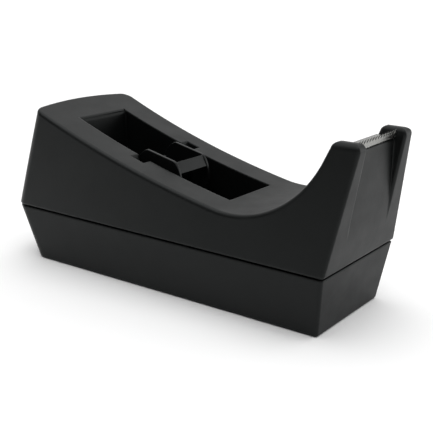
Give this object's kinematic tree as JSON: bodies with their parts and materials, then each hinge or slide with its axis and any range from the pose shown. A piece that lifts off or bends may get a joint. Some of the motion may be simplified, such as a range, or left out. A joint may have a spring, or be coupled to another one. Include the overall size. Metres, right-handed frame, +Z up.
{
  "type": "tape dispenser",
  "caption": "Weighted desktop tape dispenser with a concave ramp, an open well, a lift-out spinning hub and a toothed steel cutter between two cheeks.",
  "frame": {"origin": "middle of the bounding box's underside, on the surface that the dispenser stands on", "axes": "+X from the rear towards the cutter, +Y across the body, +Z up"},
  "size_m": [0.1641, 0.06, 0.0692],
  "materials": {
    "housing_plastic": "satin black moulded ABS with a fine spark-eroded grain",
    "base_plastic": "satin black moulded ABS with a fine spark-eroded grain",
    "ballast_iron": "rough grey sand casting",
    "pad_foam": "matt black closed-cell foam rubber",
    "screw_steel": "bright zinc-plated steel",
    "blade_steel": "bright rolled steel strip",
    "axle_steel": "drawn steel pin",
    "hub_plastic": "semi-gloss black moulded plastic"
  },
  "bodies": {
    "body": {"upper_housing": "housing_plastic", "base_tray": "base_plastic", "ballast_block": "ballast_iron", "grip_pad": "pad_foam", "base_screws": "screw_steel", "cutter_blade": "blade_steel"},
    "axle": {"hub_axle": "axle_steel"},
    "hub": {"hub_spool": "hub_plastic"}
  },
  "joints": [
    {"name": "axle_lift", "type": "slide", "parent": "body", "child": "axle", "axis": [-0.3007, 0, 0.9537], "range_m": [0, 0.036]},
    {"name": "hub_spin", "type": "hinge", "parent": "axle", "child": "hub", "pos_m": [-0.0136, 0, 0.0408], "axis": [0, 1, 0], "continuous": true}
  ]
}
